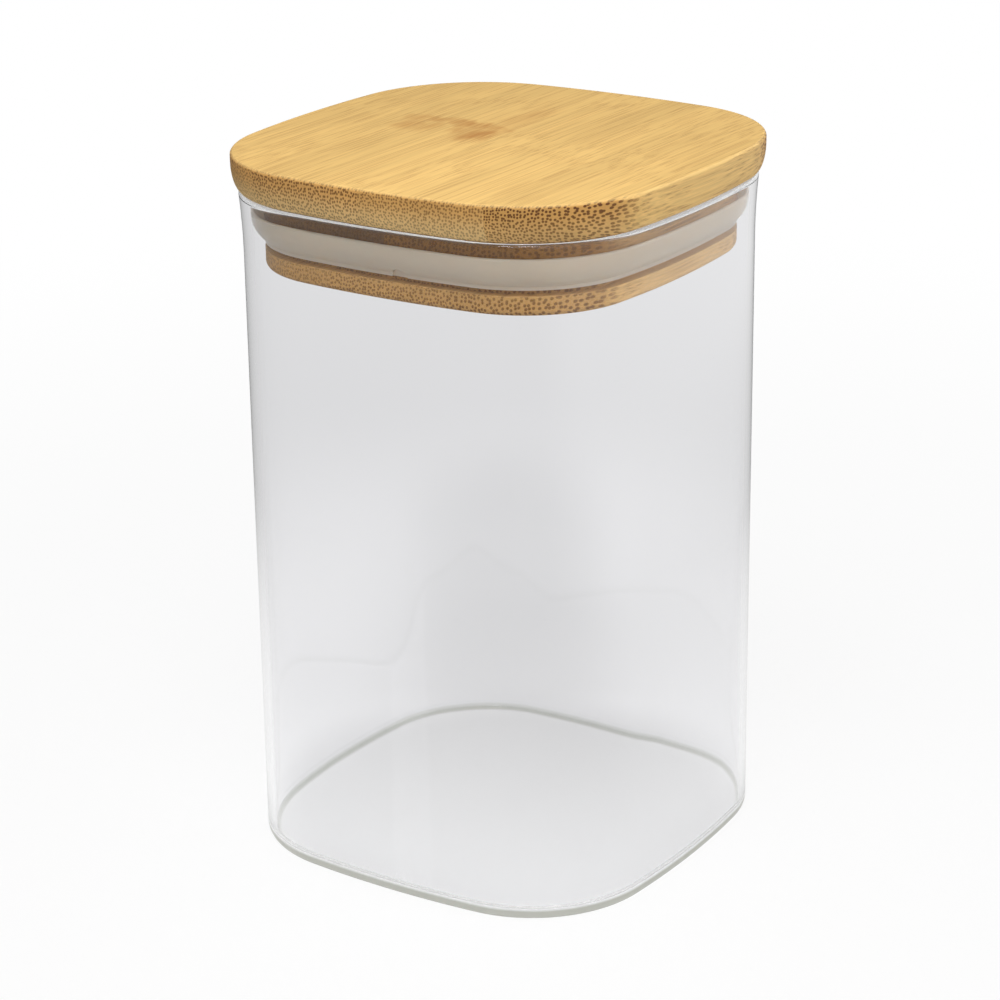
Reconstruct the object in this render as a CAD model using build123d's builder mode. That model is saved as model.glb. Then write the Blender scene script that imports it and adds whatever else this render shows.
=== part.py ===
from build123d import *
import math
import os

# A square glass jar with a bamboo lid that pushes in and is sealed by a silicone lip.
# The jar stands on the XY plane, centred on the Z axis, and the bamboo's grain runs along Y.
# All lengths are in millimetres.

# The jar's outline, seen from above: four sides that swell a little, joined by round corners
jar_width = 65.0
side_radius = 150.0
corner_radius = 19.2

# The glass
rim_height = 100.0
wall_thickness = 1.2
base_thickness = 1.2
foot_radius = 1.3
floor_radius = 1.2
flare_width = 0.4
flare_height = 9.0

# The lid's board, which covers the rim
rest_gap = 0.2
board_thickness = 5.3
board_overhang = 1.4
board_top_radius = 0.5
bevel_width = 1.4
bevel_height = 3.9

# The plug, two layers of bamboo glued under the board, with a groove round it
plug_clearance = 1.9
plug_layer_thickness = 5.5
plug_edge_radius = 0.9
land_height = 2.8
groove_height = 3.7
groove_depth = 1.5

# The silicone seal: a band at the top of the groove, and a lip that flares out of it to the glass
band_height = 2.8
lip_thickness = 0.6
lip_drop = 2.3
lip_clearance = 0.2
lip_root_height = 0.5

# The small half-round notch in the seal's lower edge, where a fingernail prises it out
notch_place = 3.0
notch_radius = 1.25
notch_depth = 0.3

# The strips that every bamboo layer is glued up from, and the joint nearest the middle in two layers
strip_width = 19.2
board_joint = -0.8
upper_plug_joint = 0.6
cut_overrun = 2.0

# Places that follow from the outline's sizes
jar_half = jar_width / 2
side_centre = jar_half - side_radius
centre_distance = side_radius - corner_radius
corner_centre = (side_centre + math.sqrt(2 * centre_distance**2 - side_centre**2)) / 2
side_angle = math.degrees(math.atan2(corner_centre, corner_centre - side_centre))

# Places in the glass
mouth_half = jar_half - wall_thickness
rim_radius = wall_thickness / 2
flare_radius = (flare_height**2 + flare_width**2) / (2 * flare_width)
flare_angle = math.degrees(math.asin(flare_height / flare_radius))
flare_rise = (flare_radius + rim_radius) * math.sin(math.radians(flare_angle))
flare_start = rim_height - rim_radius - flare_rise

# Places in the lid
board_half = jar_half + board_overhang
board_bottom = rim_height + rest_gap
board_top = board_bottom + board_thickness
plug_half = mouth_half - plug_clearance
layer_joint = board_bottom - plug_layer_thickness
plug_bottom = layer_joint - plug_layer_thickness
groove_half = plug_half - groove_depth
groove_bottom = plug_bottom + land_height
groove_top = groove_bottom + groove_height

# Places in the seal: the lip's two faces are arcs about one centre, upright where they reach the tip
tip_radius = lip_thickness / 2
tip_height = rim_height - lip_drop - tip_radius
tip_above_flare = tip_height - flare_start
flare_at_tip = flare_radius - math.sqrt(flare_radius**2 - tip_above_flare**2)
lip_half = mouth_half + flare_at_tip - lip_clearance
lip_reach = lip_half - plug_half
band_bottom = groove_top - band_height
lip_depth = tip_height - band_bottom - lip_root_height
lip_radius = (lip_reach**2 + lip_depth**2) / (2 * lip_reach)
lip_centre = lip_half - lip_radius
outer_lip_angle = math.degrees(math.acos((plug_half - lip_centre) / lip_radius))
inner_lip_angle = math.degrees(math.acos((plug_half - lip_centre) / (lip_radius - lip_thickness)))


def outline(half):
    """Draw the jar's outline at a given half width, anticlockwise from the middle of the +X side."""
    grow = half - jar_half
    for turn in range(0, 360, 90):
        side = Vector(side_centre, 0).rotate(Axis.Z, turn)
        corner = Vector(corner_centre, corner_centre).rotate(Axis.Z, turn)
        next_side = Vector(side_centre, 0).rotate(Axis.Z, turn + 90)
        CenterArc(side, side_radius + grow, turn, side_angle)
        CenterArc(corner, corner_radius + grow, turn + side_angle, 90 - 2 * side_angle)
        CenterArc(next_side, side_radius + grow, turn + 90 - side_angle, side_angle)


def slab(half, bottom, top):
    """Fill the outline at a given half width between two heights."""
    with BuildSketch(Plane.XY.offset(bottom)) as plan:
        with BuildLine():
            outline(half)
        make_face()
    extrude(plan.sketch, amount=top - bottom)


# The path that every edge profile is swept along
with BuildLine() as jar_path:
    outline(jar_half)

# The glass jar: its wall, from the foot to the rounded rim, and the floor plate inside it
wall_inside = mouth_half - 2 * floor_radius
with BuildPart() as glass_jar:
    with BuildSketch(Plane.XZ):
        with BuildLine():
            flare_middle = (jar_half + flare_radius, flare_start)
            Line((wall_inside, 0), (jar_half - foot_radius, 0))
            CenterArc((jar_half - foot_radius, foot_radius), foot_radius, -90, 90)
            Line((jar_half, foot_radius), (jar_half, flare_start))
            outer_flare = CenterArc(flare_middle, flare_radius, 180, -flare_angle)
            inner_flare = CenterArc(flare_middle, flare_radius + wall_thickness, 180, -flare_angle)
            CenterArc((outer_flare @ 1 + inner_flare @ 1) / 2, rim_radius, -flare_angle, 180)
            Line((mouth_half, flare_start), (mouth_half, base_thickness + floor_radius))
            floor_corner = (mouth_half - floor_radius, base_thickness + floor_radius)
            CenterArc(floor_corner, floor_radius, 0, -90)
            Line((mouth_half - floor_radius, base_thickness), (wall_inside, base_thickness))
            Line((wall_inside, base_thickness), (wall_inside, 0))
        make_face()
    sweep(path=jar_path.wire())
    slab(mouth_half - floor_radius, 0, base_thickness)

# The board, before it is divided into strips: its edge is rounded above and bevelled in a curve below
bevel_half = board_half - bevel_width
with BuildPart() as board:
    with BuildSketch(Plane.XZ):
        with BuildLine():
            Line((bevel_half - bevel_width, board_bottom), (bevel_half, board_bottom))
            bevel_middle = (bevel_half, board_bottom + bevel_height)
            bevel = EllipticalCenterArc(bevel_middle, bevel_width, bevel_height, -90, arc_size=90)
            top_middle = (board_half - board_top_radius, board_top - board_top_radius)
            top_round = CenterArc(top_middle, board_top_radius, 0, 90)
            Line(bevel @ 1, top_round @ 0)
            Line(top_round @ 1, (bevel_half - bevel_width, board_top))
            Line((bevel_half - bevel_width, board_top), (bevel_half - bevel_width, board_bottom))
        make_face()
    sweep(path=jar_path.wire())
    slab(bevel_half, board_bottom, board_top)

# The plug, before it is divided into layers and strips
plug_inside = groove_half - groove_depth
with BuildPart() as plug:
    with BuildSketch(Plane.XZ):
        with BuildLine():
            edge_middle = (plug_half - plug_edge_radius, plug_bottom + plug_edge_radius)
            Line((plug_inside, plug_bottom), (plug_half - plug_edge_radius, plug_bottom))
            edge = CenterArc(edge_middle, plug_edge_radius, -90, 90)
            Polyline(
                edge @ 1,
                (plug_half, groove_bottom),
                (groove_half, groove_bottom),
                (groove_half, groove_top),
                (plug_half, groove_top),
                (plug_half, board_bottom),
                (plug_inside, board_bottom),
                (plug_inside, plug_bottom),
            )
        make_face()
    sweep(path=jar_path.wire())
    slab((plug_inside + groove_half) / 2, plug_bottom, board_bottom)

# The silicone seal
with BuildPart() as seal_ring:
    with BuildSketch(Plane.XZ):
        with BuildLine():
            lip_middle = (lip_centre, tip_height)
            outer_lip = CenterArc(lip_middle, lip_radius, -outer_lip_angle, outer_lip_angle)
            inner_lip = CenterArc(lip_middle, lip_radius - lip_thickness, -inner_lip_angle, inner_lip_angle)
            CenterArc((outer_lip @ 1 + inner_lip @ 1) / 2, tip_radius, 0, 180)
            Polyline(
                inner_lip @ 0,
                (plug_half, groove_top),
                (groove_half, groove_top),
                (groove_half, band_bottom),
                (plug_half, band_bottom),
                outer_lip @ 0,
            )
        make_face()
    sweep(path=jar_path.wire())
    with BuildSketch(Plane.XZ.offset(plug_half - notch_depth)):
        with Locations((notch_place, band_bottom)):
            Circle(notch_radius)
    extrude(amount=lip_reach + cut_overrun, mode=Mode.SUBTRACT)

# Each layer of bamboo is cut along its joints into strips, numbered from -X to +X. A layer's joints lie
# a strip apart, counted in steps from its middle joint, and the lower layer of the plug is staggered.
lower_plug_joint = upper_plug_joint + strip_width / 2
layers = (
    ("board_strip", board, board_joint, (-1, 0, 1), board_bottom, board_top),
    ("upper_plug_strip", plug, upper_plug_joint, (-1, 0, 1), layer_joint, board_bottom),
    ("lower_plug_strip", plug, lower_plug_joint, (-1, 0), plug_bottom, layer_joint),
)
reach = board_half + cut_overrun
pieces = {"glass_jar": glass_jar, "seal_ring": seal_ring}
for name, blank, middle_joint, steps, bottom, top in layers:
    joints = [middle_joint + step * strip_width for step in steps]
    edges = [-reach, *joints, reach]
    for number, (left, right) in enumerate(zip(edges, edges[1:]), start=1):
        with BuildPart() as strip:
            add(blank.part)
            with BuildSketch(Plane.XY.offset(bottom)):
                with Locations(((left + right) / 2, 0)):
                    Rectangle(right - left, 2 * reach)
            extrude(amount=top - bottom, mode=Mode.INTERSECT)
        pieces[f"{name}_{number}"] = strip

os.makedirs("parts", exist_ok=True)
for name, piece in pieces.items():
    piece.part.label = name
    export_step(piece.part, f"parts/{name}.step")
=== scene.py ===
# %% [markdown]
# # A square spice jar with a bamboo lid
# The object is a thin jar of blown glass, a lid glued up from bamboo strips, and a silicone ring that
# seals one to the other. All of its pieces have exact sizes, so their shapes come from the CAD frame and
# stay as they are. Only the jar is drawn again, at the same sizes, because glass needs a finer mesh. What
# is made here is what a CAD file can't say: how the glass, the bamboo and the silicone look, and the
# plain studio that they stand in.
# %% Load the frame
import math
import bpy
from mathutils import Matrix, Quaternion, Vector


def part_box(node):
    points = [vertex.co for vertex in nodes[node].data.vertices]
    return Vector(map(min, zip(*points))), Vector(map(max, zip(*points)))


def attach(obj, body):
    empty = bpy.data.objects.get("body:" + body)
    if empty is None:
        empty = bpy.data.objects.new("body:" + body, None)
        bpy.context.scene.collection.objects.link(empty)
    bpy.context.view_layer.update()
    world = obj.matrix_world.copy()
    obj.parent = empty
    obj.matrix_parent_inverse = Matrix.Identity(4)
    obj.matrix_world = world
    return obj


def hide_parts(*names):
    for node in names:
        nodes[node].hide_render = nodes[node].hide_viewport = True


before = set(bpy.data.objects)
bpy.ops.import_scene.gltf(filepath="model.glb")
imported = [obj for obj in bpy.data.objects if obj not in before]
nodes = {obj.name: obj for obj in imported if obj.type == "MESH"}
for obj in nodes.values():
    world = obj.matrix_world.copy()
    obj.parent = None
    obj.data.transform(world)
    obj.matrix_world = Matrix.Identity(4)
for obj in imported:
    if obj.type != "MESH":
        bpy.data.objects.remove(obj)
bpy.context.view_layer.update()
print("pieces in the frame:", ", ".join(sorted(nodes)))

# %% [markdown]
# ## The camera
# The jar was photographed a little from above and with a long lens, so its upright edges lean only
# slightly towards each other. A camera could be placed by eye, but here it was fitted to the outlines of
# the lid and the jar in the picture. It is written the way a photographer would say it: from which side,
# how high, from how far, aimed at what height, and tilted how much.
# %% Camera
picture_width = 1000
camera_azimuth = math.radians(33.15)
camera_elevation = math.radians(20.25)
camera_roll = math.radians(-0.73)
camera_distance = 0.4454
aim_height = 0.0507
lens_length = 107.9
sensor_size = 36.0
axis_right_of_middle = 4.8
nearest, farthest = 0.01, 20.0

towards_camera = Vector(
    (
        math.sin(camera_azimuth) * math.cos(camera_elevation),
        -math.cos(camera_azimuth) * math.cos(camera_elevation),
        math.sin(camera_elevation),
    )
)
camera = bpy.data.objects.new("camera", bpy.data.cameras.new("camera"))
bpy.context.scene.collection.objects.link(camera)
bpy.context.scene.camera = camera
camera.location = Vector((0, 0, aim_height)) + camera_distance * towards_camera
camera.rotation_mode = "QUATERNION"
level_view = (-towards_camera).to_track_quat("-Z", "Y")
camera.rotation_quaternion = level_view @ Quaternion((0, 0, 1), camera_roll)
camera.data.sensor_width = sensor_size
camera.data.lens = lens_length
camera.data.shift_x = -axis_right_of_middle / picture_width
camera.data.clip_start = nearest
camera.data.clip_end = farthest
print("camera at", tuple(round(c, 3) for c in camera.location), "m")

# %% [markdown]
# ## Tools for shader nodes
# Every finish below is a small network of shader nodes. Written out call by call, such a network is long
# and hard to follow. A few helpers turn it into expressions: each adds one node, feeds its inputs from
# other nodes or from plain numbers, and hands back the output that the next node needs.
# %% Node tools
def feed(tree, socket, value):
    """Link an input to another node's output, or give it a plain value."""
    if isinstance(value, bpy.types.NodeSocket):
        tree.links.new(value, socket)
    else:
        socket.default_value = value


def put(tree, kind, inputs=(), output=0, **settings):
    """Add a shader node, set it up, feed its inputs, and hand back one of its outputs."""
    made = tree.nodes.new("ShaderNode" + kind)
    for name, value in settings.items():
        setattr(made, name, value)
    for name, value in dict(inputs).items():
        feed(tree, made.inputs[name], value)
    return made.outputs[output]


def calculate(tree, operation, *values):
    """Do sums with one Math node, such as calculate(tree, "ADD", a, b)."""
    return put(tree, "Math", enumerate(values), operation=operation)


def fade(tree, value, start, end, low=0.0, high=1.0):
    """Go smoothly from low to high as a value goes from start to end."""
    limits = {"From Min": start, "From Max": end, "To Min": low, "To Max": high}
    return put(tree, "MapRange", {"Value": value, **limits}, interpolation_type="SMOOTHSTEP")


def mix_colours(tree, factor, first, second):
    """Mix two colours. The numbers are the places of the colour inputs on the Mix node."""
    sockets = {0: factor, 6: first, 7: second}
    return put(tree, "Mix", sockets, output=2, data_type="RGBA")


def paint(red, green, blue):
    """A colour given as a screen shows it, from 0 to 255, in the linear light that shaders work in."""
    shown = (channel / 255 for channel in (red, green, blue))
    return (*(c / 12.92 if c <= 0.04045 else ((c + 0.055) / 1.055) ** 2.4 for c in shown), 1.0)


print("a middle grey of 128 is", round(paint(128, 128, 128)[0], 3), "in linear light")


# %% [markdown]
# ## Node groups
# An effect that several materials use is a node group: it is built once, has named inputs and outputs,
# and each material places it with values of its own. In this version of Blender the group's sockets are
# made on its interface.
# %% Group tools
def new_group(name, inputs, outputs):
    """Start a node group. Inputs and outputs are given as a name and a usual value."""
    group = bpy.data.node_groups.new(name, "ShaderNodeTree")
    for side, sockets in (("INPUT", inputs), ("OUTPUT", outputs)):
        for label, value in sockets.items():
            length = len(value) if isinstance(value, tuple) else 1
            kind = {1: "NodeSocketFloat", 3: "NodeSocketVector", 4: "NodeSocketColor"}[length]
            socket = group.interface.new_socket(label, in_out=side, socket_type=kind)
            socket.default_value = value
    entry = group.nodes.new("NodeGroupInput").outputs
    leaving = group.nodes.new("NodeGroupOutput").inputs
    return group, entry, leaving


def place_group(tree, group, inputs):
    """Place a node group in a material or another group, and hand back all its outputs."""
    placed = tree.nodes.new("ShaderNodeGroup")
    placed.node_tree = group
    for name, value in inputs.items():
        feed(tree, placed.inputs[name], value)
    return placed.outputs


def new_material(name):
    """Start an empty material, and hand back its node tree and the output that takes its surface."""
    made = bpy.data.materials.new(name)
    made.use_nodes = True
    made.node_tree.nodes.clear()
    return made, made.node_tree, made.node_tree.nodes.new("ShaderNodeOutputMaterial").inputs["Surface"]


print("node tools ready")

# %% [markdown]
# ## What bamboo is
# A bamboo stem is a pale ground of soft cells, with bundles of fibre running up it like reinforcing bars.
# Each bundle holds a few open vessels. Near the stem's skin the bundles are small, dark and crowded, and
# towards its hollow middle they are sparse and pale. Cut across, a strip shows them as dots. Cut along,
# it shows the same bundles as streaks, which are short, because no bundle runs quite parallel to the cut.
#
# A flat pattern painted on each face would never meet at the edges. A solid one does: the dots are laid
# out in the plane across the grain and carried along it, with a slow wander. The faces then cut through
# it as a saw cuts through the wood, and the dots round the lid's corner stretch into streaks by
# themselves.
#
# The first of two cells finds each point's place in that plane. Lengths are in millimetres. The wander in
# height is large, because a streak on the top ends where its bundle leaves the cut, and that makes it
# short. A strip may also spread its bundles out towards one side, and the logarithm keeps them round as
# they grow.
# %% The plane of the bundles
bundles, given, result = new_group(
    "bamboo bundles",
    {"Place": (0.0, 0.0, 0.0), "Skin Height": 0.0, "Spacing": 0.6, "Spread": 0.001, "Spread From": -40.0,
     "Seed": 0.0},
    {"Bundle": 0.0, "Heart": 0.0, "Vessel": 0.0, "Depth": 0.0},
)
drift_rate = (0.05, 0.03, 0.05)
drift_reach = (0.35, 0.0, 3.0)
lean = 0.08
tallness = 1.15

slow = put(bundles, "VectorMath", {0: given["Place"], 1: drift_rate}, operation="MULTIPLY")
drift = put(bundles, "TexNoise", {"Vector": slow, "W": given["Seed"], "Scale": 1.0, "Detail": 1.0}, 1,
            noise_dimensions="4D")
centred = put(bundles, "VectorMath", {0: drift, 1: (0.5, 0.5, 0.5)}, operation="SUBTRACT")
shift = put(bundles, "VectorMath", {0: centred, 1: drift_reach}, operation="MULTIPLY")
wandered = put(bundles, "VectorMath", {0: given["Place"], 1: shift}, operation="ADD")
across = put(bundles, "SeparateXYZ", {0: wandered}).node.outputs
below_skin = calculate(bundles, "SUBTRACT", given["Skin Height"], across["Z"])
beyond_edge = calculate(bundles, "SUBTRACT", across["X"], given["Spread From"])
from_edge = calculate(bundles, "MAXIMUM", beyond_edge, 0.0)
widening = calculate(bundles, "MULTIPLY_ADD", from_edge, given["Spread"], 1.0)
sideways = calculate(bundles, "DIVIDE", calculate(bundles, "LOGARITHM", widening, math.e), given["Spread"])
grown = calculate(bundles, "MULTIPLY", widening, tallness)
leaning = calculate(bundles, "MULTIPLY_ADD", below_skin, lean, sideways)
plane = put(bundles, "CombineXYZ", {"X": calculate(bundles, "ADD", leaning, given["Seed"]),
                                    "Y": calculate(bundles, "DIVIDE", below_skin, grown)})
cells = put(bundles, "VectorMath", {0: plane, "Scale": calculate(bundles, "DIVIDE", 1.0, given["Spacing"])},
            operation="SCALE")
print("nodes that find the plane:", len(bundles.nodes))

# %% [markdown]
# In that plane, a Voronoi texture gives the distance to the nearest of many loosely strewn points. A fade
# over a short range of that distance makes a dot with a soft edge. The same texture at a finer scale,
# kept to the inside of the dots, makes the vessels.
# %% Bundles and vessels
vessels_per_bundle = 2.6
bundle_disorder, vessel_disorder = 0.7, 0.9
bundle_edge = 0.44, 0.24
heart_edge = 0.20, 0.06
vessel_edge = 0.42, 0.20

near_bundle = put(bundles, "TexVoronoi", {"Vector": cells, "Scale": 1.0, "Randomness": bundle_disorder},
                  voronoi_dimensions="2D")
near_vessel = put(bundles, "TexVoronoi",
                  {"Vector": cells, "Scale": vessels_per_bundle, "Randomness": vessel_disorder},
                  voronoi_dimensions="2D")
bundle = fade(bundles, near_bundle, *bundle_edge)
vessel = fade(bundles, near_vessel, *vessel_edge)
feed(bundles, result["Bundle"], bundle)
feed(bundles, result["Heart"], fade(bundles, near_bundle, *heart_edge))
feed(bundles, result["Vessel"], calculate(bundles, "MULTIPLY", bundle, vessel))
whole_depth = put(bundles, "SeparateXYZ", {0: given["Place"]}, "Z")
feed(bundles, result["Depth"], calculate(bundles, "SUBTRACT", given["Skin Height"], whole_depth))
print("bundle group:", len(bundles.nodes), "nodes")

# %% [markdown]
# ## How much of a face is end grain
# Cut fibres drink oil and let light in, so end grain is darker than the same bamboo cut along. The share
# of end grain comes from the direction that the surface faces: the grain runs along Y, so a face that
# looks along Y is all end grain. The normal in the piece's own space is used, so that it moves with the
# lid.
#
# The long sides are told from the top as well, because their streaks and silk are stronger. The rounded
# upper edge, or arris, is told too: a painted highlight makes it a little paler than the faces that meet
# there.
# %% Kinds of face
bamboo, given, result = new_group(
    "bamboo",
    {
        "Place": (0.0, 0.0, 0.0),
        "Normal": (0.0, 0.0, 1.0),
        "Skin Height": 0.0,
        "Thickness": 5.4,
        "Spacing": 0.6,
        "Spread": 0.001,
        "Spread From": -40.0,
        "Dot Strength": 0.8,
        "Ring Share": 0.0,
        "Streak Strength": 0.45,
        "Seed": 0.0,
        "Along Colour": paint(231, 191, 118),
        "End Colour": paint(206, 156, 88),
        "Inner Colour": paint(228, 192, 130),
        "Dot Colour": paint(92, 50, 18),
        "Streak Colour": paint(150, 96, 44),
    },
    {"Colour": (0.5, 0.5, 0.5, 1.0), "Roughness": 0.5, "Height": 0.0},
)
across_grain = 0.08, 0.45
off_level, upright = (0.97, 0.80), (0.80, 0.50)
edge_start, edge_end = (0.35, 0.70), (0.995, 0.90)

shared = ("Place", "Skin Height", "Spacing", "Spread", "Spread From", "Seed")
pattern = place_group(bamboo, bundles, {name: given[name] for name in shared})
facing = put(bamboo, "SeparateXYZ", {0: given["Normal"]}).node.outputs
level_normal = put(bamboo, "VectorMath", {0: given["Normal"], 1: (1.0, 1.0, 0.0)}, operation="MULTIPLY")
level_direction = put(bamboo, "VectorMath", {0: level_normal}, operation="NORMALIZE")
along_grain = calculate(bamboo, "ABSOLUTE", put(bamboo, "SeparateXYZ", {0: level_direction}, "Y"))
tilt = calculate(bamboo, "ABSOLUTE", facing["Z"])
end_grain = calculate(bamboo, "MULTIPLY", fade(bamboo, along_grain, *across_grain),
                      fade(bamboo, tilt, *off_level))
long_side = calculate(bamboo, "MULTIPLY", fade(bamboo, along_grain, *reversed(across_grain)),
                      fade(bamboo, tilt, *upright))
arris = calculate(bamboo, "MULTIPLY", fade(bamboo, facing["Z"], *edge_start),
                  fade(bamboo, facing["Z"], *edge_end))
print("nodes that tell the faces apart:", len(bamboo.nodes))

# %% [markdown]
# ## The ground
# Between the bundles, the ground has a fine silky streak of its own, and its colour changes slowly from
# place to place. Both are noise, stretched along the grain: the three numbers of a grain are its rates
# along X, Y and Z. Cut across, the ground goes from one colour at the skin to another at the inside.
# %% Ground
silk_grain = (5.0, 0.10, 5.0)
patch_grain = (0.16, 0.02, 0.16)
noise_middle = 0.30, 0.70
silk_centre = 0.54
silk_on_top, silk_on_side = 0.13, 0.22
darkest_patch, palest_patch = 0.94, 1.04
skin_to_inside = 0.15, 0.9

silk_place = put(bamboo, "VectorMath", {0: given["Place"], 1: silk_grain}, operation="MULTIPLY")
silk = put(bamboo, "TexNoise", {"Vector": silk_place, "W": given["Seed"], "Scale": 1.0, "Detail": 3.0},
           noise_dimensions="4D")
patch_place = put(bamboo, "VectorMath", {0: given["Place"], 1: patch_grain}, operation="MULTIPLY")
patch = put(bamboo, "TexNoise", {"Vector": patch_place, "W": given["Seed"], "Scale": 1.0, "Detail": 2.0},
            noise_dimensions="4D")

inwards = put(bamboo, "MapRange", {"Value": pattern["Depth"], "From Max": given["Thickness"]})
end_ground = mix_colours(bamboo, fade(bamboo, inwards, *skin_to_inside), given["End Colour"],
                         given["Inner Colour"])
ground = mix_colours(bamboo, end_grain, given["Along Colour"], end_ground)
silk_wave = calculate(bamboo, "SUBTRACT", fade(bamboo, silk, *noise_middle), silk_centre)
silk_share = fade(bamboo, long_side, 0.0, 1.0, silk_on_top, silk_on_side)
silk_tone = calculate(bamboo, "MULTIPLY", silk_wave, silk_share)
tone = calculate(bamboo, "MULTIPLY", calculate(bamboo, "ADD", silk_tone, 1.0),
                 fade(bamboo, patch, *noise_middle, darkest_patch, palest_patch))
toned = put(bamboo, "VectorMath", {0: ground, "Scale": tone}, operation="SCALE")
print("nodes with the ground:", len(bamboo.nodes))

# %% [markdown]
# ## Dots and streaks
# The same bundles are drawn in two ways and joined by the share of end grain: as dots that fade towards
# the inside of the strip, and as streaks, in which the vessels show more than the bundle round them. The
# vessels are open, so they are also pits in the height that goes to the bump, and end grain is rougher
# than the rest.
# %% Dots and streaks
dot_fading = 0.10, 0.75
inside_strength = 0.70
bundle_in_streak = 0.30
side_streaks = 1.15
arris_highlight_share = 0.4
arris_highlight_colour = paint(240, 204, 134)
along_roughness, end_roughness = 0.48, 0.62
silk_height, vessel_height = 0.35, -1.0

paler = fade(bamboo, inwards, *dot_fading, 1.0, inside_strength)
end_dot = calculate(bamboo, "MULTIPLY", calculate(bamboo, "MULTIPLY", pattern["Bundle"], paler),
                    given["Dot Strength"])
opened = calculate(bamboo, "MULTIPLY", pattern["Heart"], given["Ring Share"])
end_ring = calculate(bamboo, "MULTIPLY", end_dot, calculate(bamboo, "SUBTRACT", 1.0, opened))
dotted = mix_colours(bamboo, end_ring, toned, given["Dot Colour"])
faint = calculate(bamboo, "MULTIPLY", pattern["Bundle"], bundle_in_streak)
streak_strength = calculate(bamboo, "MULTIPLY", given["Streak Strength"],
                            fade(bamboo, long_side, 0.0, 1.0, 1.0, side_streaks))
streak_shape = calculate(bamboo, "MAXIMUM", faint, pattern["Vessel"])
streak = calculate(bamboo, "MULTIPLY", streak_shape, streak_strength)
streaked = mix_colours(bamboo, streak, toned, given["Streak Colour"])
body = mix_colours(bamboo, end_grain, streaked, dotted)
# painted highlight: the rounded upper edge is mixed towards a paler colour
arris_highlight = calculate(bamboo, "MULTIPLY", arris, arris_highlight_share)
feed(bamboo, result["Colour"], mix_colours(bamboo, arris_highlight, body, arris_highlight_colour))
feed(bamboo, result["Roughness"], fade(bamboo, end_grain, 0.0, 1.0, along_roughness, end_roughness))
hollow = calculate(bamboo, "MULTIPLY", pattern["Vessel"], vessel_height)
feed(bamboo, result["Height"], calculate(bamboo, "MULTIPLY_ADD", silk, silk_height, hollow))
print("bamboo group:", len(bamboo.nodes), "nodes")


# %% [markdown]
# ## One bamboo for each strip
# The lid's strips come from different stems, so the dots change their size, darkness and spacing from
# strip to strip, and the ground its tone. The glue lines show only because of that. A short table says
# how each strip differs, and one function makes its material, with a bump about as deep as an open
# vessel. The board's strips lie with their skin up, and the last one spreads its bundles out from its
# joint.
# %% Strip materials
millimetre = 0.001
pit_depth = 0.04 * millimetre
pit_strength = 0.6
bamboo_index = 1.46
oiled_sheen = 0.35


def bamboo_material(name, strip, sheen):
    """Make a strip's bamboo, with the table's values for it, and hand back its parts."""
    made, tree, surface = new_material(name)
    place = put(tree, "TexCoord", output="Object")
    scaled = put(tree, "VectorMath", {0: place, "Scale": 1 / millimetre}, operation="SCALE")
    normal = put(tree, "TexCoord", output="Normal")
    look = place_group(tree, bamboo, {"Place": scaled, "Normal": normal, **strip})
    bump = put(tree, "Bump", {"Height": look["Height"], "Distance": pit_depth, "Strength": pit_strength})
    shader = put(tree, "BsdfPrincipled", {"Base Color": look["Colour"], "Roughness": look["Roughness"],
                                          "Normal": bump, "IOR": bamboo_index, "Specular IOR Level": sheen})
    feed(tree, surface, shader)
    return made, tree, shader.node.inputs["Base Color"], scaled


def dress(node, material):
    """Give a CAD node its finish."""
    for slot in nodes[node].material_slots:
        slot.material = material


board_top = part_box("board_strip_1")[1].z / millimetre
board_thickness = board_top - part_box("board_strip_1")[0].z / millimetre
last_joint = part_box("board_strip_4")[0].x / millimetre
board_looks = {
    "board_strip_1": {"Spacing": 0.40, "Dot Strength": 0.55, "Seed": 11.3},
    "board_strip_2": {"Spacing": 0.41, "Dot Strength": 0.80, "Seed": 3.7},
    "board_strip_3": {"Spacing": 0.40, "Dot Strength": 0.65, "Seed": 27.1,
                      "End Colour": paint(204, 156, 88)},
    "board_strip_4": {"Spacing": 0.36, "Dot Strength": 1.0, "Ring Share": 0.15, "Seed": 8.2, "Spread": 0.018,
                      "Spread From": last_joint, "End Colour": paint(196, 148, 80),
                      "Inner Colour": paint(214, 172, 108)},
}
board_bamboo = {}
for node, strip in board_looks.items():
    whole = {"Skin Height": board_top, "Thickness": board_thickness, **strip}
    board_bamboo[node] = bamboo_material(node + "_bamboo", whole, oiled_sheen)
    dress(node, board_bamboo[node][0])
print("board strips dressed:", len(board_bamboo), "and", round(board_thickness, 2), "mm thick")
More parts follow.
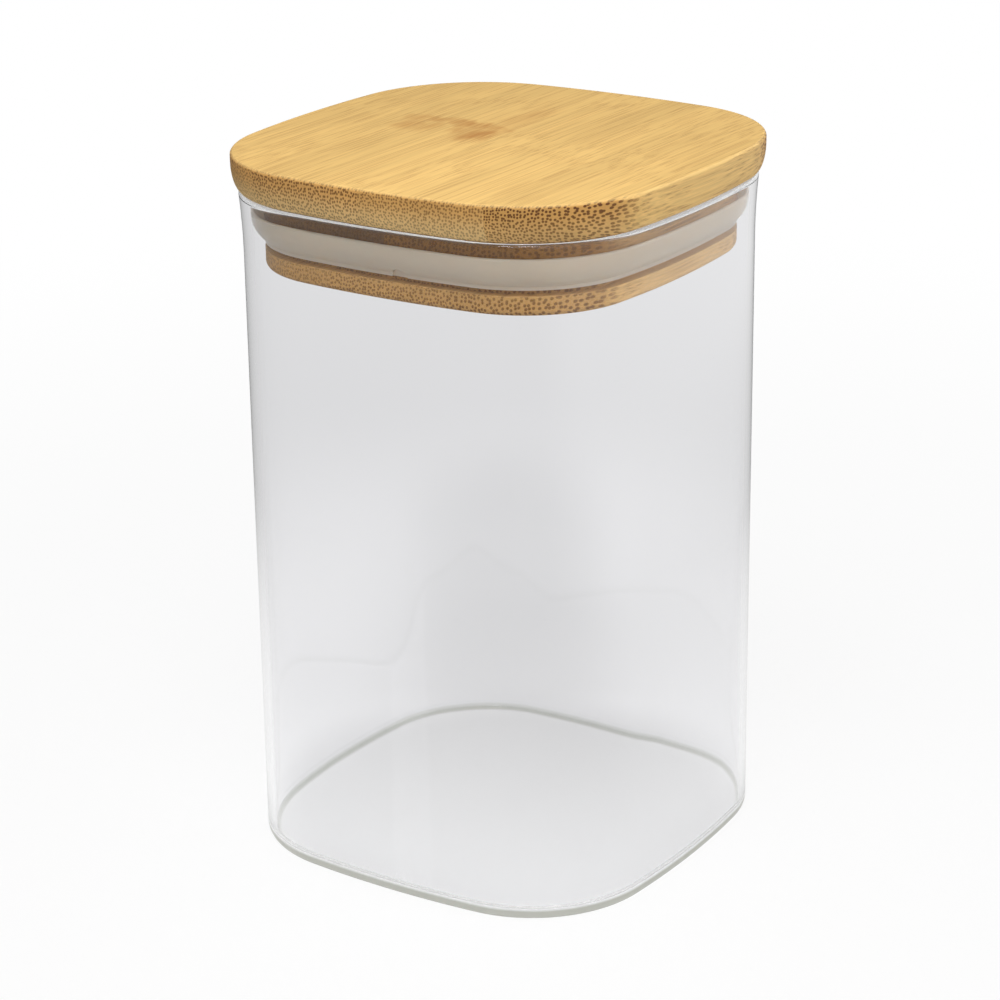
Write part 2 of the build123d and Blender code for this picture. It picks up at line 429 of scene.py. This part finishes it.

# %% [markdown]
# ## The plug's bamboo
# The plug is only sanded, so it is duller than the oiled board. In its upper layer, the ends of the two
# strips on the left are painted darker, as painted shade between the board and the seal, and the ends grow
# warmer towards the right. The strips of its lower layer were laid with their skin down: their thickness
# counts the other way, and their dots thin out upwards.
# %% Plug materials
sanded_sheen = 0.1
plug_tones = {
    "Along Colour": paint(222, 180, 116),
    "End Colour": paint(190, 146, 84),
    "Inner Colour": paint(200, 158, 98),
    "Dot Colour": paint(104, 62, 22),
}
# painted shade: darker ends for the upper layer's two left strips, which lie in shade under the board
shade_painted_ends = {"End Colour": paint(160, 120, 66), "Inner Colour": paint(168, 128, 76)}
deep_ends = {"End Colour": paint(184, 134, 62), "Inner Colour": paint(192, 144, 74)}
warm_ends = {"End Colour": paint(194, 140, 62), "Inner Colour": paint(198, 146, 72)}
plug_looks = {
    "upper_plug_strip_1": {"Spacing": 0.46, "Dot Strength": 0.40, "Seed": 41.0, **shade_painted_ends},
    "upper_plug_strip_2": {"Spacing": 0.46, "Dot Strength": 0.45, "Seed": 43.5, **shade_painted_ends},
    "upper_plug_strip_3": {"Spacing": 0.50, "Dot Strength": 0.60, "Seed": 47.9, **deep_ends},
    "upper_plug_strip_4": {"Spacing": 0.58, "Dot Strength": 0.60, "Seed": 52.4, **warm_ends},
    "lower_plug_strip_1": {"Spacing": 0.46, "Dot Strength": 0.55, "Seed": 61.8},
    "lower_plug_strip_2": {"Spacing": 0.46, "Dot Strength": 0.70, "Seed": 66.6},
    "lower_plug_strip_3": {"Spacing": 0.50, "Dot Strength": 0.80, "Seed": 71.2},
}
for node, strip in plug_looks.items():
    bottom, top = (corner.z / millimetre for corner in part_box(node))
    skin, inside = (top, bottom) if node.startswith("upper") else (bottom, top)
    whole = {"Skin Height": skin, "Thickness": skin - inside, **plug_tones, **strip}
    dress(node, bamboo_material(node + "_bamboo", whole, sanded_sheen)[0])
print("plug strips dressed:", len(plug_looks))

# %% [markdown]
# ## The stem's knot
# A bamboo stem is closed by a wall at every knot, and there its bundles swerve and darken. One strip of
# the board was cut through such a knot, and shows it as two reddish blotches and a band across the grain,
# which stop dead at the glue lines. The mark is laid down as soft shapes in the strip's own place, with
# edges that a stretched noise pulls out along the grain, and it goes right through the strip's thickness.
# Each row of the table is one such shape: its centre and its reach along X and Y, in millimetres, and its
# strength.
# %% Knot mark
knot, given, result = new_group("knot mark", {"Place": (0.0, 0.0, 0.0)}, {"Mark": 0.0})
frayed_grain = (0.45, 0.16, 0.4)
streaky_grain = (1.6, 0.16, 1.0)
fraying = (4.0, 7.0, 0.0)
blotch_edge = 1.3, 0.2
streaky_edge = -0.15, 0.15
between_streaks = 0.45
blotches = ((-16.8, 1.2, 2.6, 4.6, 0.70), (-13.2, 0.6, 2.2, 3.6, 0.55), (-4.2, 0.8, 3.6, 5.2, 0.85),
            (-7.4, 2.2, 2.2, 3.4, 0.60), (-10.0, 5.6, 12.0, 2.3, 0.75), (-3.4, 12.0, 3.4, 9.0, 0.35))


def knot_noise(grain):
    """A noise stretched by its rates along the three axes, centred on nought."""
    spread = put(knot, "VectorMath", {0: given["Place"], 1: grain}, operation="MULTIPLY")
    noise = put(knot, "TexNoise", {"Vector": spread, "Scale": 1.0, "Detail": 3.0}, 1)
    return put(knot, "VectorMath", {0: noise, 1: (0.5, 0.5, 0.5)}, operation="SUBTRACT")


pulled = put(knot, "VectorMath", {0: knot_noise(frayed_grain), 1: fraying}, operation="MULTIPLY")
frayed = put(knot, "VectorMath", {0: given["Place"], 1: pulled}, operation="ADD")
total = 0.0
for centre_x, centre_y, reach_x, reach_y, strength in blotches:
    from_centre = put(knot, "VectorMath", {0: frayed, 1: (centre_x, centre_y, 0.0)}, operation="SUBTRACT")
    one_over_reach = (1 / reach_x, 1 / reach_y, 0.0)
    scaled = put(knot, "VectorMath", {0: from_centre, 1: one_over_reach}, operation="MULTIPLY")
    off = put(knot, "VectorMath", {0: scaled}, "Value", operation="LENGTH")
    total = calculate(knot, "MAXIMUM", total, fade(knot, off, *blotch_edge, 0.0, strength))
streaky = put(knot, "SeparateXYZ", {0: knot_noise(streaky_grain)}, "X")
streaks = fade(knot, streaky, *streaky_edge, between_streaks, 1.0)
feed(knot, result["Mark"], calculate(knot, "MULTIPLY", total, streaks))
print("knot group:", len(knot.nodes), "nodes for", len(blotches), "shapes")

# %% [markdown]
# The mark goes in between the strip's own colour and its shader. Whatever is drawn there already, bundles
# and silk alike, is pulled towards a reddish brown as strongly as the mark says.
# %% The knot on its strip
knot_colour = paint(180, 122, 60)

marked, tree, base_colour, place = board_bamboo["board_strip_2"]
mark = place_group(tree, knot, {"Place": place})["Mark"]
plain_colour = base_colour.links[0].from_socket
feed(tree, base_colour, mix_colours(tree, mark, plain_colour, knot_colour))
print("knot mark on", marked.name)

# %% [markdown]
# ## The glass
# The jar is thin clear glass, and what shows is its edges: the rim, the foot and the two sides, where one
# looks along the wall. A closed shape with a real thickness gives those lines by itself. But glass is
# also hard on a mesh. The CAD frame has it in flat facets, good enough for any opaque thing, and each
# facet would bend the light a little differently and leave scratches. So the same jar is drawn again, at
# the same sizes and in much finer steps, as one profile that goes round the outline.
#
# The outline is made of arcs. Where a wide one meets a tight one, the curvature jumps, and whatever is
# seen through the wall gets a jog, which blown glass doesn't show. The points stay on the arcs, but the
# direction that light is bent by is eased: it is the mean of a dozen neighbours on either side.
# %% The jar's outline
side_radius = 150 * millimetre
corner_radius = 19.2 * millimetre
jar_half = 32.5 * millimetre
side_steps = 72
corner_steps = 72
easing_steps = 12

side_centre = jar_half - side_radius
centre_distance = side_radius - corner_radius
corner_centre = (side_centre + math.sqrt(2 * centre_distance**2 - side_centre**2)) / 2
side_angle = math.atan2(corner_centre, corner_centre - side_centre)


def outline():
    """Give the outline's points: the arc's centre, its radius at the outer face, the way out, the normal."""
    points = []
    for quarter in range(4):
        turn = quarter * math.pi / 2
        side = Quaternion((0, 0, 1), turn) @ Vector((side_centre, 0, 0))
        corner = Quaternion((0, 0, 1), turn) @ Vector((corner_centre, corner_centre, 0))
        swing = math.pi / 2 - 2 * side_angle
        for k in range(side_steps):
            angle = turn - side_angle + 2 * side_angle * k / side_steps
            points.append((side, side_radius, Vector((math.cos(angle), math.sin(angle), 0))))
        for k in range(corner_steps):
            angle = turn + side_angle + swing * k / corner_steps
            points.append((corner, corner_radius, Vector((math.cos(angle), math.sin(angle), 0))))
    eased = []
    for k, point in enumerate(points):
        around = [points[(k + step) % len(points)][2] for step in range(-easing_steps, easing_steps + 1)]
        eased.append((*point, sum(around, Vector((0, 0, 0))).normalized()))
    return eased


print("points round the outline:", len(outline()))
print("corner arcs centred", round(corner_centre / millimetre, 2), "mm from the middle, both ways")

# %% [markdown]
# ## The jar's profile
# The section of the wall starts at the foot, goes up the outer face and over the rim, and comes down
# inside to the floor. Straight parts need no points between their ends, and the arcs get as many as the
# light asks for. Every point has the normal of its arc, so the round parts look as smooth as if they had
# no facets.
# %% The jar's profile
rim_height = 100 * millimetre
wall = 1.2 * millimetre
base = 1.2 * millimetre
foot_radius = 1.3 * millimetre
inner_floor_radius = 1.2 * millimetre
flare_width = 0.4 * millimetre
flare_height = 9.0 * millimetre
foot_steps, flare_steps, rim_steps, floor_steps = 16, 12, 32, 20

mouth_half = jar_half - wall
flare_radius = (flare_height**2 + flare_width**2) / (2 * flare_width)
flare_angle = math.asin(flare_height / flare_radius)
flare_start = rim_height - wall / 2 - (flare_radius + wall / 2) * math.sin(flare_angle)


def arc(centre, radius, start, swing, steps, side=1):
    """Give the points of an arc and their normals. Side is -1 where the glass lies outside the arc."""
    angles = [start + swing * k / steps for k in range(steps + 1)]
    turned = [(math.cos(a), math.sin(a)) for a in angles]
    return [(centre[0] + radius * c, centre[1] + radius * s, side * c, side * s) for c, s in turned]


quarter_turn, half_turn = math.pi / 2, math.pi
flare_middle = (jar_half + flare_radius, flare_start)
rim_middle = (
    flare_middle[0] - (flare_radius + wall / 2) * math.cos(flare_angle),
    flare_start + (flare_radius + wall / 2) * math.sin(flare_angle),
)
foot_middle = (jar_half - foot_radius, foot_radius)
floor_middle = (mouth_half - inner_floor_radius, base + inner_floor_radius)
jar_profile = [
    *arc(foot_middle, foot_radius, -quarter_turn, quarter_turn, foot_steps),
    *arc(flare_middle, flare_radius, half_turn, -flare_angle, flare_steps, side=-1),
    *arc(rim_middle, wall / 2, -flare_angle, half_turn, rim_steps)[1:-1],
    *reversed(arc(flare_middle, flare_radius + wall, half_turn, -flare_angle, flare_steps)),
    *arc(floor_middle, inner_floor_radius, 0, -quarter_turn, floor_steps, side=-1),
]
print("points in the profile:", len(jar_profile))


# %% [markdown]
# ## The jar
# To sweep the profile, a ring of the outline is laid at each of its points, and neighbouring rings are
# joined with four-sided faces. One flat cap closes the shape under the foot and another on the floor
# inside. The normals worked out above are set on the mesh as they are. The new jar rides on the jar's
# body and takes the place of the CAD node.
# %% The jar
def swept(name, profile, path):
    """Sweep a closed shell: a ring of the outline at each profile point, and a cap on the first and last."""
    vertices, normals = [], []
    for half, height, outwards, upwards in profile:
        for centre, radius, direction, normal in path:
            vertices.append(centre + direction * (radius + half - jar_half) + Vector((0, 0, height)))
            normals.append(normal * outwards + Vector((0, 0, upwards)))
    count = len(path)
    faces = [list(reversed(range(count)))]
    for ring in range(len(profile) - 1):
        for k in range(count):
            after = (k + 1) % count
            low, high = ring * count, (ring + 1) * count
            faces.append([low + k, low + after, high + after, high + k])
    faces.append(list(range((len(profile) - 1) * count, len(profile) * count)))
    mesh = bpy.data.meshes.new(name)
    mesh.from_pydata(vertices, [], faces)
    mesh.shade_smooth()
    mesh.normals_split_custom_set_from_vertices([n.normalized() for n in normals])
    made = bpy.data.objects.new(name, mesh)
    bpy.context.scene.collection.objects.link(made)
    return made


jar = swept("blown_jar", jar_profile, outline())
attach(jar, "jar")
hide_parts("glass_jar")
print("faces in the jar:", len(jar.data.polygons))

# %% [markdown]
# ## Clear glass
# The shader bends light at both faces of the wall, and tints it a little each time. Lamps can't shine
# through such a shader, and the lid inside would be black, so for shadow rays alone the glass is replaced
# by a clear film with nearly the same tint.
#
# Two tints on the surface darken the glass low down. One lies on the bead round the floor, told by its
# height and its slope, for rays that reach it from the camera or through glass: it is painted shade, for the
# darker surroundings that the bead bends into view. The other darkens and greens the outside of the foot.
# Rays that enter the glass lower than about 1.7 mm pass under the bead into the base, so that tint fades in
# round this height.
# %% Glass
glass, tree, surface = new_material("clear_glass")
glass_index = 1.47
glass_tint, bead_shade_tint, foot_tint = paint(254, 254, 255), paint(212, 214, 208), paint(160, 161, 147)
film_tint = paint(247, 248, 248)
bead_top = 2 * (base + inner_floor_radius)
bead_start, bead_end = (0.0, 0.50), (1.0, 0.75)
foot_heights = 1.9 * millimetre, 1.4 * millimetre
upright_wall = 0.3, 0.1

up = put(tree, "SeparateXYZ", {0: put(tree, "TexCoord", output="Normal")}, "Z")
height = put(tree, "SeparateXYZ", {0: put(tree, "TexCoord", output="Object")}, "Z")
rays = put(tree, "LightPath").node.outputs
direct = calculate(tree, "MAXIMUM", rays["Is Camera Ray"], rays["Is Transmission Ray"])
low = calculate(tree, "LESS_THAN", height, bead_top)
curved = calculate(tree, "MULTIPLY", fade(tree, up, *bead_start), fade(tree, up, *bead_end))
# painted shade on the bead, for rays from the camera or through glass only
bead = calculate(tree, "MULTIPLY", calculate(tree, "MULTIPLY", curved, low), direct)
beaded = mix_colours(tree, bead, glass_tint, bead_shade_tint)
outside = calculate(tree, "SUBTRACT", 1.0, put(tree, "NewGeometry", output="Backfacing"))
thick = calculate(tree, "MULTIPLY", fade(tree, height, *foot_heights), fade(tree, up, *upright_wall))
foot = calculate(tree, "MULTIPLY", thick, outside)
tint = mix_colours(tree, foot, beaded, foot_tint)
clear = put(tree, "BsdfPrincipled", {"Base Color": tint, "Roughness": 0.0, "IOR": glass_index,
                                     "Transmission Weight": 1.0})
film = put(tree, "BsdfTransparent", {"Color": film_tint})
feed(tree, surface, put(tree, "MixShader", {0: rays["Is Shadow Ray"], 1: clear, 2: film}))
jar.data.materials.append(glass)
print("glass tint", tuple(round(c, 3) for c in glass_tint[:3]))

# %% [markdown]
# ## The silicone
# The seal is milky: light gets in, wanders about and comes out again, and a little of it passes straight
# through, so the bamboo behind it shows as a brown haze. Rough transmission gives the haze, and what
# isn't transmitted is scattered under the surface.
# %% Silicone
silicone, tree, surface = new_material("milky_silicone")
silicone_index = 1.41
milk, milk_shadow = paint(232, 217, 196), paint(190, 184, 172)
passing_share = 0.3
wandering = 1.2 * millimetre

milky = put(tree, "BsdfPrincipled", {"Base Color": milk, "Roughness": 0.38, "IOR": silicone_index,
                                     "Transmission Weight": passing_share, "Subsurface Weight": 1.0,
                                     "Subsurface Radius": (1.0, 0.9, 0.8), "Subsurface Scale": wandering})
film = put(tree, "BsdfTransparent", {"Color": milk_shadow})
for_lamps = put(tree, "LightPath", output="Is Shadow Ray")
feed(tree, surface, put(tree, "MixShader", {0: for_lamps, 1: milky, 2: film}))
dress("seal_ring", silicone)
print("seal dressed")

# %% [markdown]
# ## The studio
# The picture's ground is white, with no horizon. The floor is a wide disc, and the world above it is
# white too, but only for rays that come from the camera or by way of glass and gloss. The light that
# falls on the object is set by itself, from a soft sky and large lamps, at a level where a colour shows
# about as it is written.
#
# A real studio isn't evenly white, and a clear jar shows little else than that. Seen through the glass,
# the paper gets greyer away from the object, is dimmer under it, and has a soft shade behind it. Seen in
# the gloss, the studio is dim on the photographer's side and bright towards the window on the right, and
# the paper close by is bright too, but less so under the object. One group works all this out from a
# place on the floor or a direction in the sky, and says how near the object the place is.
# %% Studio white
studio, given, result = new_group(
    "studio white", {"Place": (0.0, 0.0, 0.0)}, {"Through Glass": 1.0, "In Gloss": 1.0, "Near": 1.0}
)
window_azimuth = math.radians(115)
near_radius, far_radius = 0.06, 0.36
white_reach = 0.05, 0.21
far_white = 0.78
under_white, under_gloss = 0.72, 0.55
under_reach = 0.030, 0.048
dim_gloss, bright_gloss = 0.12, 0.95
gloss_turn = 0.05, 0.25
gloss_reach = 0.20
shade_azimuth = math.radians(213)
shade_level = 0.84
shade_half_width = 0.036
shade_reach = 0.20, 0.12

window = (math.sin(window_azimuth), -math.cos(window_azimuth), 0.0)
shade_way = (math.sin(shade_azimuth), -math.cos(shade_azimuth), 0.0)
shade_side = (math.cos(shade_azimuth), math.sin(shade_azimuth), 0.0)
flat_place = put(studio, "VectorMath", {0: given["Place"], 1: (1.0, 1.0, 0.0)}, operation="MULTIPLY")
distance = put(studio, "VectorMath", {0: flat_place}, "Value", operation="LENGTH")
behind = put(studio, "VectorMath", {0: flat_place, 1: shade_way}, "Value", operation="DOT_PRODUCT")
beside = put(studio, "VectorMath", {0: flat_place, 1: shade_side}, "Value", operation="DOT_PRODUCT")
narrow = fade(studio, calculate(studio, "ABSOLUTE", beside), shade_half_width, 0.0)
reaching = calculate(studio, "MULTIPLY", fade(studio, behind, *shade_reach),
                     fade(studio, behind, *under_reach))
shade = fade(studio, calculate(studio, "MULTIPLY", narrow, reaching), 0.0, 1.0, 1.0, shade_level)
outwards = fade(studio, distance, *white_reach, 1.0, far_white)
paper_white = calculate(studio, "MULTIPLY", outwards, shade)
through = calculate(studio, "MULTIPLY", paper_white,
                    fade(studio, distance, *under_reach, under_white, 1.0))
sideways = put(studio, "VectorMath", {0: flat_place, 1: window}, "Value", operation="DOT_PRODUCT")
far_gloss = fade(studio, sideways, *gloss_turn, dim_gloss, bright_gloss)
near_gloss = calculate(studio, "MULTIPLY", fade(studio, distance, near_radius, gloss_reach, 1.0, 0.0),
                       fade(studio, distance, *under_reach, under_gloss, 1.0))
gloss = calculate(studio, "MAXIMUM", far_gloss, near_gloss)
feed(studio, result["Through Glass"], through)
feed(studio, result["In Gloss"], gloss)
feed(studio, result["Near"], fade(studio, distance, near_radius, far_radius, 1.0, 0.0))
print("studio group:", len(studio.nodes), "nodes")


def white_for_rays(tree, place):
    """Say which rays see the white, how white it is for them, and how near the object the place is."""
    rays = put(tree, "LightPath").node.outputs
    levels = place_group(tree, studio, {"Place": place})
    mirrored = calculate(tree, "MAXIMUM", rays["Is Glossy Ray"], rays["Is Transmission Ray"])
    seen = calculate(tree, "MAXIMUM", rays["Is Camera Ray"], mirrored)
    indirect = put(tree, "Mix", {0: rays["Is Transmission Ray"], 2: levels["In Gloss"],
                                 3: levels["Through Glass"]})
    level = put(tree, "Mix", {0: rays["Is Camera Ray"], 2: indirect, 3: 1.0})
    return seen, level, levels["Near"], rays["Is Camera Ray"]


# %% [markdown]
# ## Floor and world
# For the rays that may see the white, the floor glows, and close to the object a share of plain paper is
# mixed in, which takes on the object's shadow. The share is larger through the glass than beside it. The
# floor lies a hair above the plane of the foot, so that the glass touches it. On the plane itself the two
# faces would coincide and scratch the picture, and over a gap the foot would mirror the dark.
# %% Floor and world
floor_reach = 6.0
floor_sides = 96
floor_lift = 0.02 * millimetre
pure_white, paper = paint(255, 255, 255), paint(240, 240, 240)
corner_angles = [2 * math.pi * k / floor_sides for k in range(floor_sides)]
floor_points = [(floor_reach * math.cos(a), floor_reach * math.sin(a), 0) for a in corner_angles]
floor_mesh = bpy.data.meshes.new("floor")
floor_mesh.from_pydata(floor_points, [], [list(range(floor_sides))])
floor = bpy.data.objects.new("floor", floor_mesh)
bpy.context.scene.collection.objects.link(floor)
floor.location.z = floor_lift

floor_finish, tree, surface = new_material("floor")
open_paper_share, through_paper_share = 0.12, 0.35
place = put(tree, "TexCoord", output="Object")
seen, level, near, open_view = white_for_rays(tree, place)
paper_share = put(tree, "Mix", {0: open_view, 2: through_paper_share, 3: open_paper_share})
painted = put(tree, "BsdfDiffuse", {"Color": paper})
glowing = put(tree, "Emission", {"Color": pure_white, "Strength": level})
glow_share = calculate(tree, "SUBTRACT", 1.0, calculate(tree, "MULTIPLY", near, paper_share))
share = calculate(tree, "MULTIPLY", seen, glow_share)
feed(tree, surface, put(tree, "MixShader", {0: share, 1: painted, 2: glowing}))
floor_mesh.materials.append(floor_finish)

sky_level = 0.36
world = bpy.data.worlds.new("studio")
bpy.context.scene.world = world
world.use_nodes = True
world.node_tree.nodes.clear()
tree = world.node_tree
direction = put(tree, "TexCoord", output="Generated")
seen, level, near, open_view = white_for_rays(tree, direction)
sky = put(tree, "Background", {"Color": pure_white, "Strength": sky_level})
white = put(tree, "Background", {"Color": pure_white, "Strength": level})
feed(tree, tree.nodes.new("ShaderNodeOutputWorld").inputs["Surface"],
     put(tree, "MixShader", {0: seen, 1: sky, 2: white}))
print("floor of", 2 * floor_reach, "m and a sky at", sky_level)


# %% [markdown]
# ## Lamps
# Three square lamps do what the photographer's did: a large one at the window side on the right, a weak
# one in front, which keeps the end grain on the left from going dark, and a small one high up for the top
# of the lid.
# %% Lamps
def soft_lamp(name, azimuth, elevation, distance, size, power):
    """A square lamp that looks at the middle of the jar, placed by its direction as the camera is."""
    lamp = bpy.data.objects.new(name, bpy.data.lights.new(name, "AREA"))
    bpy.context.scene.collection.objects.link(lamp)
    turn, rise = math.radians(azimuth), math.radians(elevation)
    out = Vector((math.sin(turn) * math.cos(rise), -math.cos(turn) * math.cos(rise), math.sin(rise)))
    lamp.location = Vector((0, 0, aim_height)) + distance * out
    lamp.rotation_mode = "QUATERNION"
    lamp.rotation_quaternion = (-out).to_track_quat("-Z", "Y")
    lamp.data.size = size
    lamp.data.energy = power
    return lamp


lamps = (
    soft_lamp("window_lamp", azimuth=115, elevation=25, distance=0.8, size=0.5, power=1.55),
    soft_lamp("front_lamp", azimuth=33, elevation=45, distance=0.55, size=0.25, power=0.2),
    soft_lamp("high_lamp", azimuth=25, elevation=65, distance=0.33, size=0.13, power=0.66),
)
print("lamps:", ", ".join(f"{lamp.name} {lamp.data.energy:.1f} W" for lamp in lamps))

# %% [markdown]
# ## Finish
# The view transform is the plain one, so that colours come out as they are written. A ray that runs along
# the wall of the jar bounces between its faces many times before it leaves, and where it is cut short the
# glass turns dark, so the number of bounces is high.
# %% Settings
light_bounces = 160

scene = bpy.context.scene
scene.view_settings.view_transform = "Standard"
scene.cycles.use_denoising = True
scene.cycles.max_bounces = light_bounces
scene.cycles.transmission_bounces = light_bounces
scene.cycles.glossy_bounces = light_bounces
